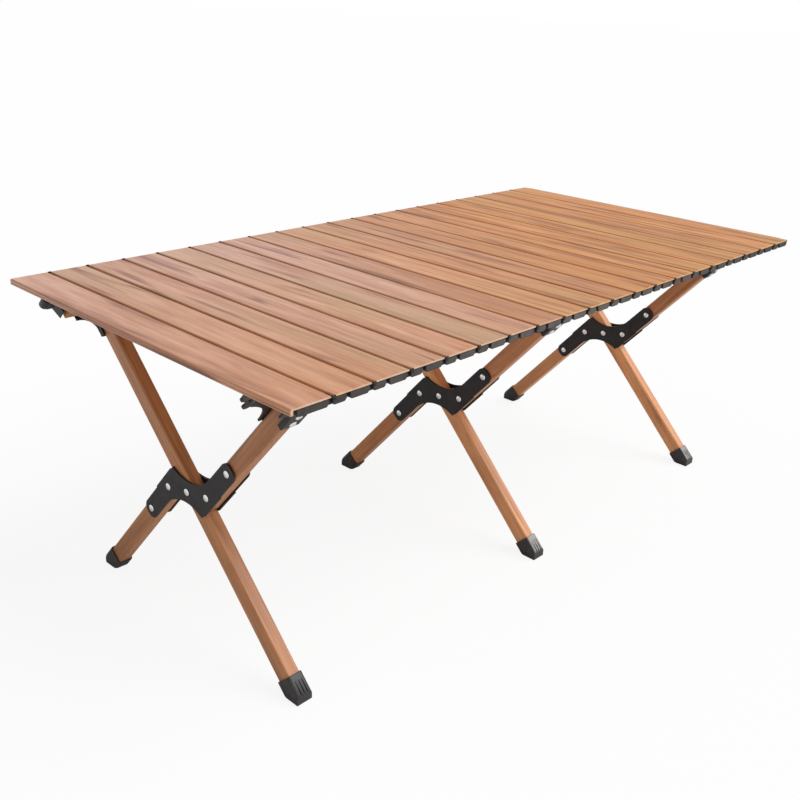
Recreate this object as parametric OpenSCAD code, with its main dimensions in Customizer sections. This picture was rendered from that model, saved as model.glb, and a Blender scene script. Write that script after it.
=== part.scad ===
// Roll top camp table: a top of hinged slats that rolls up, on three crossed
// pairs of legs that close like scissors and draw together on folding rails.
// Millimetres. The origin is on the floor under the middle of the top:
// +X runs along the table, +Y from its front to its back, +Z up.

/* [Table top] */
// Number of slats in the top
slat_count = 20; // [16:2:24]
// Distance from one slat to the next
slat_pitch = 60; // [56:1:66]
// Gap between two neighbouring slats
slat_gap = 3.6; // [3.4:0.1:5]
// Length of a slat, across the table
slat_length = 600; // [560:5:700]
// Thickness of a slat
slat_thick = 8; // [7:0.5:12]
// Bevel along the upper edges of a slat
slat_edge = 1; // [0.5:0.1:1.5]
// Height of the top's surface above the floor
table_h = 465; // [455:1:480]

/* [Slat end caps] */
// Depth of an end cap, along its slat
cap_depth = 14; // [12:0.5:20]
// How far a cap hangs below its slat
cap_drop = 4; // [3:0.5:6]
// Thickness of the slat that runs over a cap
skin_t = 2.5; // [2:0.1:3]
// Width of a link, which reaches under the next slat
link_w = 21; // [16:1:24]
// Thickness of a link, along the slat
link_t = 6; // [5:0.5:7]
// Gap between a link and the next cap's block
link_gap = 4.4; // [2:0.1:6]
// Radius of the pin in a link
link_pin_r = 2; // [1.5:0.1:2.5]
// Chamfer under the corners of a cap block and of a link
cap_chamfer = 3; // [1:0.5:4]
// How far a link's rib stands out beyond the slats
rib_out = 1.5; // [1:0.5:3]
// Width of the first board's wall, and of the last cap's corner
end_wall = 4; // [3:0.5:6]

/* [Legs] */
// Width of a leg, in the plane of its crossed pair
leg_w = 26; // [22:1:28]
// Thickness of a leg, along the table
leg_t = 20; // [16:1:22]
// Bevel along the edges of a leg
leg_edge = 2; // [1:0.5:4]
// Height of the pivot where the legs cross
pivot_h = 223; // [215:1:230]
// Angle of the long leg from the floor
long_tilt = 45.4; // [44:0.1:48]
// Angle of the two-piece leg from the floor
short_tilt = 48.9; // [47:0.1:51]
// Distance between neighbouring pairs of legs
frame_spacing = 513; // [470:1:530]
// Gap between the legs when the pair is closed
fold_gap = 1.3; // [1:0.1:3]

/* [Cross brackets] */
// Thickness of a bracket plate
plate_t = 3; // [2:0.5:4]
// Length of a bracket arm from the pivot
arm_len = 120; // [114:1:130]
// Width of a bracket arm
arm_w = 28; // [26:1:32]
// Radius of an arm's end corners
arm_round = 12; // [8:1:13]
// Radius of the round notch beside the pivot
notch_r = 66; // [60:1:72]
// How far a bracket's middle stands out beyond its arms
shoulder = 1.5; // [0:0.5:3]
// Distance from the pivot to a near rivet, along the leg
rivet_near = 35.7; // [32:0.1:44]
// Distance from the pivot to a far rivet, along the leg
rivet_far = 106.6; // [98:0.1:110]
// Radius of the pivot pin
pivot_r = 4; // [3:0.5:5]
// Radius of a rivet
rivet_r = 3; // [2.5:0.5:4]
// Radius of a rivet's head
head_r = 5.2; // [4.6:0.2:7]
// Height of a rivet's head
head_t = 2; // [1.5:0.1:2.5]

/* [Feet] */
// Length of a foot along its leg
foot_len = 34; // [30:1:50]
// Wall of a foot around its leg
foot_wall = 2.5; // [2:0.5:3.5]
// Thickness of a foot under its leg
sole_t = 4; // [3:0.5:6]
// Reach of a foot's blunt toe from the middle of its leg
toe_reach = 7; // [5:0.5:14]
// Width of the grooves in a foot
groove_w = 2.4; // [1.6:0.2:3]

/* [Rails] */
// Drop from the slats down to the rails' pivots
rail_drop = 20; // [18:1:24]
// Thickness of a folding rail
rail_t = 12; // [9:0.5:12]
// Depth of a rail below its pivot
rail_low = 12; // [10:1:13]
// Height of a rail above its pivot
rail_high = 28; // [24:1:30]
// Distance from a rail's pivot to the step up to its full height
rail_step = 24; // [22:1:40]
// Distance from a leg's middle to the rail pivot beside it
rail_pin_x = 26; // [25:1:30]
// Radius of a rail's pins
rail_pin_r = 4; // [3:0.5:5]
// How far a rail's fixed end reaches out beyond the outer legs
rail_end = 58; // [50:1:62]
// Length of the cap on a rail's fixed end
rail_cap = 19; // [12:1:20]

/* [Top brackets] */
// Thickness of a cheek plate
cheek_t = 3; // [2:0.5:4]
// Width of a cheek's stem
stem_w = 28; // [24:1:32]
// Reach of a cheek's arm towards its rail
cheek_reach = 38; // [36:1:39]
// Length of the stem below the rail pivots on a front plain cheek
stem_len = 56; // [50:1:70]
// Length of the stem below the rail pivots on a back cheek
back_stem = 46; // [42:1:60]
// Depth of the lips on a plain cheek's stem
cheek_lip = 5; // [3:0.5:8]
// Length of a winged cheek's stem below the rail pivots
wing_stem = 84; // [80:1:100]
// Radius of the hollow under a wing
wing_r = 58; // [50:1:60]
// Reach of a wing beyond the outer legs
wing_reach = 80; // [74:1:82]
// Depth of a wing below the rail pivots
wing_low = 26; // [24:1:30]

/* [Clearances] */
// Radial clearance of a pin that turns in its hole
run_clear = 0.06; // [0.03:0.01:0.1]
// Radial clearance of the pivots where the loop of rails is left open
loose_clear = 0.4; // [0.3:0.1:0.6]
// Gap between flat faces of pieces that move past each other
face_gap = 0.3; // [0.2:0.1:0.4]
// Gap between pieces that are fixed to each other
seat_gap = 0.05; // [0.03:0.01:0.1]

/* [Hidden] */
$fn = 48;
big = 2000;
bite = 1;
wood = "#b07a4e";
wood_dark = "#9c6240";
black = "#2c2b2d";
steel = "#cfcfd2";

SIDES = ["left", "mid", "right"];
frame_x = [-frame_spacing, 0, frame_spacing];

// Slats and their caps, measured down from the surface
slat_w = slat_pitch - slat_gap;
slat_under = table_h - slat_thick;
cap_base = slat_thick + cap_drop;
cap_h = cap_base - skin_t;
hinge_drop = (skin_t + cap_base) / 2;
lug_r = cap_h / 2 - face_gap;
lug_t = cap_depth - link_t - 2 * face_gap;
block_from = link_w + link_gap - slat_pitch / 2;
block_to = slat_pitch / 2 - lug_r - face_gap;
first_from = end_wall + link_gap - slat_w / 2;
web_inset = 2.5;
link_pin_len = link_t - web_inset - 1;
rib_w = 1.5 * slat_gap;
rib_h = skin_t + 3;

// Legs: the two-piece leg is set off to either side so the long leg lies between
leg_offset = leg_w + fold_gap;
lean_long = long_tilt;
lean_short = 180 - short_tilt;
plate_x = leg_t / 2 + face_gap;
leg_top = 8;
split_gap = 16;

// Rails, in the sloping plane of the legs that carry them
rail_z = slat_under - rail_drop;
knuckle_x = frame_spacing / 2;
rail_gap = 0.5;
rail_half = rail_gap + rail_t;
cheek_z = max(leg_w / 2, rail_half + face_gap);
cheek_grip = 2 * (cheek_z + cheek_t + seat_gap);
spacer_wall = 3;
pin_head_r = rail_pin_r + 2;
plain_low = 14;
plain_r = 20;
tip_r = 7;
lip_x = leg_t / 2 + face_gap;
lip_t = max(0.5, min(stem_w / 2, rail_pin_x - rail_low - face_gap) - lip_x);
back_stub_from = -4;
front_stub_t = 4;

function slat_x(k) = (k + 0.5 - slat_count / 2) * slat_pitch;
function stem_rivets(stem) = [for (part = [0.55, 0.85]) -part * stem];
function two_digits(k) = str(k < 10 ? "0" : "", k);
function slat_name(k) = str("slat_", two_digits(k + 1));
// Distance along a leg from the pivot to the height z
function along_leg(z, lean, shift) = (z - pivot_h - shift * cos(lean)) / sin(lean);
long_rail_q = along_leg(rail_z, lean_long, 0);
short_rail_q = along_leg(rail_z, lean_short, leg_offset);

// Places its children on a leg: Y up along the leg, Z square to it, X along the table
module on_leg(x, lean, shift) {
    translate([x, 0, pivot_h]) rotate([lean, 0, 0]) translate([0, 0, shift]) children();
}

module above(z) {
    translate([-big, -big, z]) cube([2 * big, 2 * big, big]);
}

module below(z) {
    translate([-big, -big, z - big]) cube([2 * big, 2 * big, big]);
}

// The room under the slats and clear of their end caps
module under_top(gap) {
    cap_y = slat_length / 2 - cap_depth - face_gap;
    difference() {
        below(slat_under - gap);
        for (y = [cap_y, -cap_y - big]) translate([-big, y, table_h - cap_base - face_gap])
            cube([2 * big, big, big]);
    }
}

// The room behind a foot's blunt toe
module behind_toe(lean, shift, reach) {
    floor_y = along_leg(0, lean, shift) * cos(lean) - shift * sin(lean);
    start = lean < 90 ? floor_y - reach : floor_y + reach - 2 * big;
    translate([-big, start, 0]) cube([2 * big, 2 * big, big]);
}

// A bar along Y with bevelled edges, wide in Z and thick in X
module leg_bar(from, to, width, thick, edge) {
    w = width / 2;
    t = thick / 2;
    translate([0, to, 0]) rotate([90, 0, 0]) linear_extrude(to - from) polygon([
        [-t + edge, -w], [t - edge, -w], [t, -w + edge], [t, w - edge],
        [t - edge, w], [-t + edge, w], [-t, w - edge], [-t, -w + edge]
    ]);
}

module cross_pin(r) {
    rotate([0, 90, 0]) cylinder(r = r, h = 4 * leg_t, center = true);
}

module through_pin(r) {
    cylinder(r = r, h = 4 * leg_w, center = true);
}

module stem_holes(rail_q, stem) {
    for (q = stem_rivets(stem)) translate([0, rail_q + q, 0]) through_pin(rivet_r + run_clear);
}

// The long leg, straight from the front foot to the back of the top
module long_leg(i) {
    color(wood) difference() {
        intersection() {
            on_leg(frame_x[i], lean_long, 0)
                leg_bar(-big, long_rail_q + leg_top, leg_w, leg_t, leg_edge);
            above(sole_t);
            behind_toe(lean_long, 0, toe_reach - foot_wall);
        }
        translate([frame_x[i], 0, pivot_h]) cross_pin(pivot_r + run_clear);
        on_leg(frame_x[i], lean_long, 0) stem_holes(long_rail_q, back_stem);
    }
}

// The upper half of the two-piece leg, on the front side of the long leg
module upper_leg(i) {
    color(wood) difference() {
        on_leg(frame_x[i], lean_short, leg_offset)
            leg_bar(split_gap, short_rail_q + leg_top, leg_w, leg_t, leg_edge);
        on_leg(frame_x[i], lean_short, leg_offset) {
            stem_holes(short_rail_q, stem_len);
            for (u = [rivet_near, rivet_far]) translate([0, u, 0]) cross_pin(rivet_r + run_clear);
        }
    }
}

// The lower half of the two-piece leg, on the back side of the long leg
module lower_leg(i) {
    color(wood) difference() {
        intersection() {
            on_leg(frame_x[i], lean_short, -leg_offset)
                leg_bar(-big, -split_gap, leg_w, leg_t, leg_edge);
            above(sole_t);
            behind_toe(lean_short, -leg_offset, toe_reach - foot_wall);
        }
        on_leg(frame_x[i], lean_short, -leg_offset)
            for (u = [rivet_near, rivet_far]) translate([0, -u, 0]) cross_pin(rivet_r + run_clear);
    }
}

// A moulded foot: a sleeve over the leg's end, with a flat sole and a blunt toe
module foot(i, lean, shift) {
    floor_q = along_leg(0, lean, shift);
    foot_w = leg_w + 2 * foot_wall;
    foot_t = leg_t + 2 * foot_wall;
    color(black) difference() {
        intersection() {
            on_leg(frame_x[i], lean, shift)
                leg_bar(floor_q - foot_len, floor_q + foot_len, foot_w, foot_t, leg_edge + 1);
            behind_toe(lean, shift, toe_reach);
        }
        intersection() {
            on_leg(frame_x[i], lean, shift)
                leg_bar(floor_q - foot_len, 0, leg_w, leg_t, leg_edge);
            above(sole_t);
            behind_toe(lean, shift, toe_reach - foot_wall + seat_gap);
        }
        on_leg(frame_x[i], lean, shift) for (side = [-1, 1]) for (x = [-1, 0, 1])
            translate([x * foot_t / 4 - groove_w / 2, floor_q - foot_len, side * foot_w / 2 - foot_wall / 2])
                cube([groove_w, foot_len * 1.5, foot_wall]);
    }
}

module bracket_arm() {
    v = leg_offset - arm_w / 2;
    corner = min(arm_round, (arm_w - bite) / 2);
    translate([0, v]) square([arm_len - corner, arm_w]);
    translate([0, v + corner]) square([arm_len, arm_w - 2 * corner]);
    for (c = [v + corner, v + arm_w - corner])
        translate([arm_len - corner, c]) circle(corner);
}

// One plate of a cross bracket: an arm on each half of the leg, joined at the pivot
module bracket_plate() {
    inner_edge = leg_offset - arm_w / 2;
    out = leg_offset + arm_w / 2 + shoulder;
    notch_u = notch_r - 2;
    notch_v = notch_r - inner_edge;
    tip_cut = 9;
    rotate([90, 0, 90]) linear_extrude(plate_t) difference() {
        union() for (turn = [0, 180]) rotate(turn) {
            bracket_arm();
            polygon([
                [notch_u, 0], [notch_u, out], [tip_cut, out],
                [-tip_cut, out - tip_cut], [-notch_u, out - tip_cut], [-notch_u, 0]
            ]);
        }
        for (turn = [0, 180]) rotate(turn) translate([notch_u, -notch_v]) circle(notch_r);
        circle(pivot_r + run_clear);
        for (turn = [0, 180]) rotate(turn) for (u = [rivet_near, rivet_far])
            translate([u, leg_offset]) circle(rivet_r + run_clear);
    }
}

module cross_bracket(i) {
    color(black) on_leg(frame_x[i], lean_short, 0) for (x = [plate_x, -plate_x - plate_t])
        translate([x, 0, 0]) bracket_plate();
}

// A rivet along Z with a flat-topped head at each end of its grip
module rivet(r, grip, head) {
    cylinder(r = r, h = grip, center = true);
    for (flip = [0, 180]) rotate([flip, 0, 0]) translate([0, 0, grip / 2])
        cylinder(r1 = head, r2 = head * 0.7, h = head_t);
}

// Four rivets and the pivot pin of a cross bracket
module cross_rivets(i) {
    grip = 2 * (plate_x + plate_t + seat_gap);
    color(steel) on_leg(frame_x[i], lean_short, 0) rotate([90, 0, 90]) {
        rivet(pivot_r, grip, head_r);
        for (turn = [0, 180]) rotate(turn) for (u = [rivet_near, rivet_far])
            translate([u, leg_offset]) rivet(rivet_r, grip, head_r);
    }
}

// Hollow corner between a cheek's stem and its arm
module cheek_corner(low, r) {
    translate([stem_w / 2 - bite, -low - r]) difference() {
        square([r + bite, r + bite]);
        translate([r + bite, 0]) circle(r);
    }
}

module cheek_holes(stem) {
    for (s = [-1, 1]) translate([s * rail_pin_x, 0]) circle(rail_pin_r + run_clear);
    for (q = stem_rivets(stem)) translate([0, q]) circle(rivet_r + run_clear);
}

// A plain cheek plate with a short arm to each side and lips beside its leg
module plain_cheek(stem) {
    linear_extrude(cheek_t) difference() {
        union() {
            translate([-stem_w / 2, -stem]) square([stem_w, stem]);
            translate([-cheek_reach, -plain_low]) square([2 * cheek_reach, plain_low + rail_high]);
            for (flip = [0, 1]) mirror([flip, 0]) cheek_corner(plain_low, plain_r);
        }
        cheek_holes(stem);
    }
    for (x = [lip_x, -lip_x - lip_t]) translate([x, -stem, -cheek_lip])
        cube([lip_t, stem - plain_low, cheek_lip + bite]);
}

// A cheek plate with hollow corners, and with a long wing where it ends the table
module winged_cheek(side) {
    linear_extrude(cheek_t) difference() {
        union() {
            translate([-stem_w / 2, -wing_stem]) square([stem_w, wing_stem]);
            intersection() {
                union() {
                    for (flip = [0, 1]) mirror([flip, 0]) cheek_corner(wing_low, wing_r);
                    translate([-cheek_reach, -wing_low]) square([2 * cheek_reach, wing_low + rail_high]);
                }
                translate([-cheek_reach, -big]) square([2 * cheek_reach, 2 * big]);
            }
            if (side != 0) mirror([side < 0 ? 0 : 1, 0]) {
                intersection() {
                    mirror([1, 0]) cheek_corner(wing_low, wing_r);
                    translate([tip_r - wing_reach * 0.75, -big]) square([big, 2 * big]);
                }
                polygon([
                    [0, rail_high], [-wing_reach, rail_high], [-wing_reach, wing_low / 6],
                    [-wing_reach * 0.75, -wing_low], [0, -wing_low]
                ]);
                translate([-wing_reach * 0.75, tip_r / 2 - wing_low]) circle(tip_r);
                translate([tip_r - wing_reach, 0]) circle(tip_r);
            }
        }
        cheek_holes(stem_len);
    }
}

// A rail's pin with its spacer beside the rail; layer is the side the rail lies on
module rail_pin(layer) {
    spacer_t = cheek_z - rail_gap - seat_gap;
    rivet(rail_pin_r, cheek_grip, pin_head_r);
    if (layer != 0) translate([0, 0, layer > 0 ? -rail_gap - spacer_t : rail_gap])
        cylinder(r = rail_pin_r + spacer_wall, h = spacer_t);
}

// Which layer the rail lies in at a pin: inner rails on the upper side, outer rails below
function pin_layer(i, s, up) = i == 1 ? up : (s * (i - 1) < 0 ? -up : 0);

module top_rivets(i, up, stem) {
    color(steel) {
        for (q = stem_rivets(stem)) translate([0, q, 0]) rivet(rivet_r, cheek_grip, head_r);
        for (s = [-1, 1]) translate([s * rail_pin_x, 0, 0]) rail_pin(pin_layer(i, s, up));
    }
}

// Back of the top: two plain cheeks on the long leg
module back_top_bracket(i) {
    color(black) intersection() {
        on_leg(frame_x[i], lean_long, 0) translate([0, long_rail_q, 0])
            for (flip = [0, 1]) mirror([0, 0, flip]) translate([0, 0, cheek_z]) plain_cheek(back_stem);
        under_top(face_gap);
    }
    on_leg(frame_x[i], lean_long, 0) translate([0, long_rail_q, 0]) top_rivets(i, 1, back_stem);
}

// Front of the top: a winged cheek behind the upper leg and a plain one before it
module front_top_bracket(i) {
    color(black) intersection() {
        on_leg(frame_x[i], lean_short, leg_offset) translate([0, short_rail_q, 0]) {
            translate([0, 0, cheek_z]) plain_cheek(stem_len);
            translate([0, 0, -cheek_z - cheek_t]) winged_cheek(i - 1);
        }
        under_top(face_gap);
    }
    on_leg(frame_x[i], lean_short, leg_offset) translate([0, short_rail_q, 0]) top_rivets(i, -1, stem_len);
}

// Outline of the moulded cap on a rail's fixed end: a knob and a pointed lobe
module rail_cap_shape() {
    start = rail_end + seat_gap;
    lobe = rail_cap / 3;
    translate([start, lobe]) square([rail_cap, rail_high - lobe]);
    translate([rail_end + rail_cap, 2 * tip_r]) circle(tip_r);
    polygon([
        [start, 2 * lobe], [start, -lobe / 2],
        [start + lobe, bite - rail_low], [start + 2 * lobe, 2 * lobe]
    ]);
}

// The fixed end of a rail beyond the outer legs, with its moulded cap
module rail_end_piece(i, lean, shift, rail_q, from, to, tone) {
    side = i - 1;
    start = stem_w / 2;
    color(tone) difference() {
        intersection() {
            on_leg(frame_x[i], lean, shift) translate([0, rail_q, 0]) mirror([side < 0 ? 1 : 0, 0, 0])
                translate([start, -rail_low, from]) cube([rail_end - start, rail_low + rail_high, to - from]);
            under_top(0);
        }
        on_leg(frame_x[i], lean, shift)
            translate([side * rail_pin_x, rail_q, 0]) through_pin(rail_pin_r + run_clear);
    }
    color(black) intersection() {
        on_leg(frame_x[i], lean, shift) translate([0, rail_q, 0]) mirror([side < 0 ? 1 : 0, 0, 0])
            translate([0, 0, from]) linear_extrude(to - from) rail_cap_shape();
        under_top(0);
    }
}

// One folding half of a rail, from its pivot at a leg to the knuckle between two legs
module rail_half_bar(pivot_x, layer, pivot_r_in, knuckle_r_in) {
    side = sign(pivot_x);
    mid_x = side * knuckle_x;
    toward = sign(mid_x - pivot_x);
    step_x = pivot_x + toward * rail_step;
    translate([0, 0, layer > 0 ? rail_gap : -rail_half]) linear_extrude(rail_t) difference() {
        union() {
            for (x = [pivot_x, mid_x]) translate([x, 0]) circle(rail_low);
            translate([min(pivot_x, mid_x), -rail_low]) square([abs(mid_x - pivot_x), 2 * rail_low]);
            translate([min(step_x, mid_x), 0]) square([abs(mid_x - step_x), rail_high]);
        }
        translate([pivot_x, 0]) circle(pivot_r_in);
        translate([mid_x, 0]) circle(knuckle_r_in);
    }
}

// The half next to the middle legs, which carries the knuckle's pin
module rail_inner(side, lean, shift, rail_q, up) {
    color(wood_dark) intersection() {
        on_leg(0, lean, shift) translate([0, rail_q, 0])
            rail_half_bar(side * rail_pin_x, up, rail_pin_r + run_clear, rail_pin_r + run_clear);
        under_top(0);
    }
    color(steel) on_leg(0, lean, shift) translate([side * knuckle_x, rail_q, 0]) {
        cylinder(r = rail_pin_r, h = 2 * (rail_half + bite), center = true);
        for (flip = [0, 180]) rotate([flip, 0, 0]) translate([0, 0, rail_half + seat_gap])
            cylinder(r = pin_head_r, h = bite);
    }
}

// The half next to the outer legs
module rail_outer(side, lean, shift, rail_q, up, pivot_clear) {
    color(wood_dark) intersection() {
        on_leg(0, lean, shift) translate([0, rail_q, 0])
            rail_half_bar(side * (frame_spacing - rail_pin_x), -up,
                rail_pin_r + pivot_clear, rail_pin_r + run_clear);
        under_top(0);
    }
}

// A slat's board: bevelled above, thinned at both ends over the caps.
// The first keeps a wall on its left, and the last leaves its right corners to the caps.
module slat_board(k) {
    w = slat_w / 2;
    span = slat_length / 2;
    cut_from = k == 0 ? end_wall - w : -slat_w;
    difference() {
        translate([0, span, 0]) rotate([90, 0, 0]) linear_extrude(slat_length) polygon([
            [-w, -slat_thick], [w, -slat_thick], [w, -slat_edge],
            [w - slat_edge, 0], [slat_edge - w, 0], [-w, -slat_edge]
        ]);
        for (y = [-span - bite, span - cap_depth]) {
            translate([cut_from, y, -slat_thick - bite])
                cube([2 * slat_w, cap_depth + bite, slat_thick + bite - skin_t]);
            if (k == slat_count - 1) translate([w - end_wall, y, -slat_thick - bite])
                cube([slat_w, cap_depth + bite, slat_thick + 2 * bite]);
        }
    }
}

// A block along Y with both lower corners chamfered
module chamfered_block(from, to, depth, low, high) {
    translate([0, depth, 0]) rotate([90, 0, 0]) linear_extrude(depth) polygon([
        [from, high], [to, high], [to, low + cap_chamfer], [to - cap_chamfer, low],
        [from + cap_chamfer, low], [from, low + cap_chamfer]
    ]);
}

// The link on a cap's right: its web crosses the seam and holds the next slat's pin,
// its tooth reaches under that slat, and a rib stands in front of the seam
module cap_link() {
    seam = slat_pitch / 2;
    difference() {
        union() {
            chamfered_block(seam, seam + link_w, link_t, -cap_base, -skin_t - face_gap);
            translate([block_to - bite, web_inset, bite - cap_base])
                cube([seam + 2 * bite - block_to, link_t - web_inset, cap_h - bite - face_gap]);
            translate([seam - slat_gap / 2, -rib_out, -rib_h]) {
                cube([rib_w, rib_out + bite, rib_h - skin_t - face_gap]);
                cube([rib_w, rib_out - face_gap, rib_h - face_gap]);
            }
        }
        translate([seam, link_t - link_pin_len - face_gap, -hinge_drop]) rotate([-90, 0, 0])
            cylinder(r = link_pin_r + run_clear, h = link_t);
    }
}

// The lug on a cap's left: it lies behind the last slat's link and carries the pin
module cap_lug() {
    translate([-slat_pitch / 2, link_t + face_gap, -hinge_drop]) {
        rotate([-90, 0, 0]) cylinder(r = lug_r, h = lug_t);
        translate([0, 0, -lug_r]) cube([slat_pitch / 2 + block_from + bite, lug_t, 2 * lug_r]);
        translate([0, -face_gap - link_pin_len, 0]) rotate([-90, 0, 0])
            cylinder(r = link_pin_r, h = link_pin_len + face_gap + bite);
    }
}

// The last cap has no link: it runs on to the end of the top and fills the corner
module last_corner() {
    w = slat_w / 2;
    translate([w - end_wall + seat_gap, 0, -skin_t - bite])
        cube([end_wall - seat_gap, cap_depth - seat_gap, skin_t + bite - slat_edge]);
}

module end_cap(k) {
    last = k == slat_count - 1;
    translate([0, -slat_length / 2, 0]) {
        chamfered_block(k == 0 ? first_from : block_from, last ? slat_w / 2 : block_to,
            cap_depth - seat_gap, -cap_base, -skin_t - seat_gap);
        if (last) last_corner();
        else cap_link();
        if (k > 0) cap_lug();
    }
}

// One slat of the top: its board and the moulded cap on either end
module slat(k) {
    translate([slat_x(k), 0, table_h]) {
        color(wood) slat_board(k);
        color(black) {
            end_cap(k);
            mirror([0, 1, 0]) end_cap(k);
        }
    }
}

for (i = [0 : 2]) {
    long_leg(i);
    upper_leg(i);
    lower_leg(i);
    foot(i, lean_long, 0);
    foot(i, lean_short, -leg_offset);
    cross_bracket(i);
    cross_rivets(i);
    back_top_bracket(i);
    front_top_bracket(i);
}
for (side = [-1, 1]) {
    i = 1 + side;
    rail_end_piece(i, lean_long, 0, long_rail_q, back_stub_from, rail_half, wood);
    rail_end_piece(i, lean_short, leg_offset, short_rail_q, -rail_half, front_stub_t - rail_half, black);
    rail_inner(side, lean_long, 0, long_rail_q, 1);
    rail_outer(side, lean_long, 0, long_rail_q, 1, run_clear);
    rail_inner(side, lean_short, leg_offset, short_rail_q, -1);
    rail_outer(side, lean_short, leg_offset, short_rail_q, -1, loose_clear);
}
for (k = [0 : slat_count - 1]) {
    slat(k);
}
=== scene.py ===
# %% [markdown]
# A roll top camp table, dressed in Blender. The solids of the table are already
# packed with their joints, so they load here as a fixed frame, in metres. Every
# piece below is built in that same frame and then rides on one of its bodies.

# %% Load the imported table
import math
import random

import bmesh
import bpy
from mathutils import Matrix, Vector


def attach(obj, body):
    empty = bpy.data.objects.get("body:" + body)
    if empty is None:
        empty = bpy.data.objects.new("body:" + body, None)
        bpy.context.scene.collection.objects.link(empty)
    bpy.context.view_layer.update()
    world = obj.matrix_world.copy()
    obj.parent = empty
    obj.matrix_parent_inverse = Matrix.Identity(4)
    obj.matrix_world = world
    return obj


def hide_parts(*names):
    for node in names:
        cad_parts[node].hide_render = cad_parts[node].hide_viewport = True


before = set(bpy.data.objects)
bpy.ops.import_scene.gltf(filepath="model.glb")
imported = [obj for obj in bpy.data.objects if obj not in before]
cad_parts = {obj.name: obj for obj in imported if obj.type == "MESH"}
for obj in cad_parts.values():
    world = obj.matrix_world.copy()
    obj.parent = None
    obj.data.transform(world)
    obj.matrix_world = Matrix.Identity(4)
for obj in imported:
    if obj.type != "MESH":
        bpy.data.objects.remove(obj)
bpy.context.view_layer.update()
MM = 0.001

# %% [markdown]
# The camera stands where the photographer stood: in front of the table's left end,
# a little above it. Its three axes and its place were solved from the seams of the
# top, the corners and the feet. A camera looks along its own minus Z, so the axes
# go into the columns of a matrix as right, up and backwards.

# %% Camera
VIEW_RIGHT = Vector((0.690148, -0.722441, 0.042127))
VIEW_DOWN = Vector((-0.256221, -0.29838, -0.919413))
VIEW_AHEAD = Vector((0.676792, 0.623737, -0.391031))
STANDPOINT = Vector((-1.1764, -0.98216, 0.85839))
SENSOR_WIDTH, FOCAL_LENGTH = 36, 43.402

camera = bpy.data.objects.new("camera", bpy.data.cameras.new("camera"))
bpy.context.scene.collection.objects.link(camera)
pose = Matrix((VIEW_RIGHT, -VIEW_DOWN, -VIEW_AHEAD)).transposed().to_4x4()
pose.translation = STANDPOINT
camera.matrix_world = pose
camera.data.sensor_width = SENSOR_WIDTH
camera.data.lens = FOCAL_LENGTH
bpy.context.scene.camera = camera
print("camera stands at", [round(v, 2) for v in camera.location])

# %% [markdown]
# A catalogue picture has a white room: light from all sides, and one broad lamp
# that gives the shapes a lit side and a shaded side. The sky is grey where it
# lights the table, and plain white where the camera or a reflection looks at it.
# Materials and the sky are both trees of nodes, so two small helpers come first.

# %% Small helpers for node trees
def add_node(tree, kind, values=None, **settings):
    made = tree.nodes.new(kind)
    for name, value in settings.items():
        setattr(made, name, value)
    for name, value in (values or {}).items():
        made.inputs[name].default_value = value
    return made


def join(tree, source, target):
    tree.links.new(source, target)


# %% Sky
SKY_LIGHT = 0.47
WHITE = (1.0, 1.0, 1.0, 1.0)

world = bpy.data.worlds.new("white_room")
bpy.context.scene.world = world
world.use_nodes = True
sky = world.node_tree
backdrop = sky.nodes["Background"]
backdrop.inputs["Color"].default_value = WHITE
backdrop.inputs["Strength"].default_value = SKY_LIGHT
white = add_node(sky, "ShaderNodeBackground", {"Color": WHITE, "Strength": 1.0})
rays = add_node(sky, "ShaderNodeLightPath")
looked_at = rays.outputs["Is Camera Ray"]
for kind in ("Is Glossy Ray", "Is Transmission Ray"):
    either = add_node(sky, "ShaderNodeMath", operation="MAXIMUM")
    join(sky, looked_at, either.inputs[0])
    join(sky, rays.outputs[kind], either.inputs[1])
    looked_at = either.outputs["Value"]
mix = add_node(sky, "ShaderNodeMixShader")
join(sky, looked_at, mix.inputs["Fac"])
join(sky, backdrop.outputs[0], mix.inputs[1])
join(sky, white.outputs[0], mix.inputs[2])
join(sky, mix.outputs[0], sky.nodes["World Output"].inputs["Surface"])
bpy.context.scene.view_settings.view_transform = "Standard"
print("sky lights the table at", SKY_LIGHT)

# %% Lamp
LAMP_ENERGY, LAMP_ANGLE = 2.6, math.radians(50)
LAMP_AIM = Vector((-0.68, 0.68, -1.02))

lamp = bpy.data.objects.new("broad_lamp", bpy.data.lights.new("broad_lamp", "SUN"))
lamp.data.energy = LAMP_ENERGY
lamp.data.angle = LAMP_ANGLE
lamp.rotation_euler = LAMP_AIM.to_track_quat("-Z", "Y").to_euler()
bpy.context.scene.collection.objects.link(lamp)
print("lamp shines along", [round(v, 2) for v in LAMP_AIM])

# %% [markdown]
# The floor is a wide pale disc. For the camera it glows a little, so that the
# background stays clean while a soft shadow remains under the feet. It lies a hair
# below the soles, because two faces in one plane would flicker.

# %% Floor
FLOOR_RADIUS, FLOOR_DROP = 40, 0.2 * MM
FLOOR_GREY, FLOOR_ROUGHNESS, FLOOR_SHEEN = (0.86, 0.86, 0.86, 1.0), 0.9, 0.1
FLOOR_GLOW = 0.88

disc = bmesh.new()
bmesh.ops.create_circle(disc, cap_ends=True, radius=FLOOR_RADIUS, segments=64,
                        matrix=Matrix.Translation((0, 0, -FLOOR_DROP)))
floor_data = bpy.data.meshes.new("floor")
disc.to_mesh(floor_data)
disc.free()
floor = bpy.data.objects.new("floor", floor_data)
bpy.context.scene.collection.objects.link(floor)

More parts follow.
